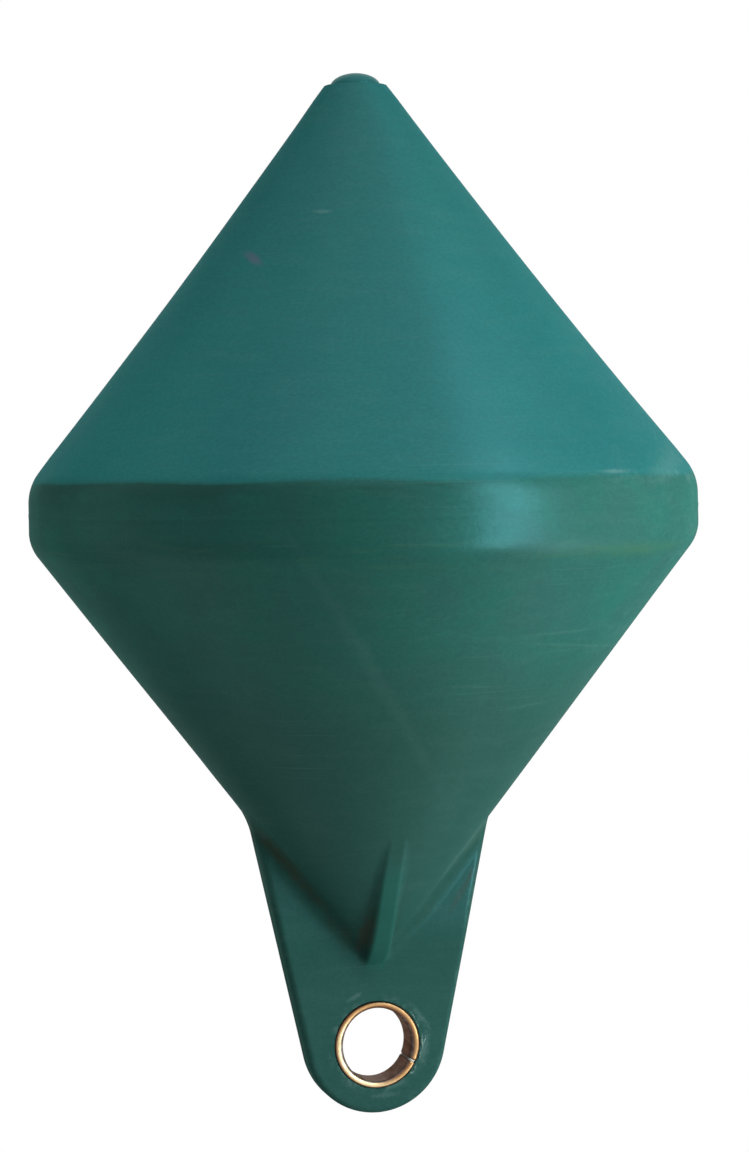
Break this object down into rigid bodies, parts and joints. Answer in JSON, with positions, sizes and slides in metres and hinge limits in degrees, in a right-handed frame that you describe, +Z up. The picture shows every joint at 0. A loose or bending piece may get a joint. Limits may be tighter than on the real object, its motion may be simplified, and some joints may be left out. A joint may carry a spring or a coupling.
{
  "type": "navigation buoy",
  "caption": "Biconical rotomoulded marker and mooring buoy with an equator band, a flat mooring lug with a bushed eye, gusset ridges and a domed filler plug.",
  "frame": {"origin": "on the buoy's axis, in the plane of its widest line, which is where it floats", "axes": "+Z up along the buoy's axis, towards the plug; +X along the flat mooring lug; +Y along the eye's bore, away from the front"},
  "size_m": [0.3999, 0.4, 0.6236],
  "materials": {
    "shell": "green moulded polyethylene, satin",
    "plug": "green moulded polyethylene, satin",
    "bush": "worn golden brass"
  },
  "bodies": {
    "root": {"float_shell": "shell", "mooring_lug": "shell", "gusset_ridges": "shell", "filler_plug": "plug", "mooring_bush": "bush"}
  },
  "joints": []
}
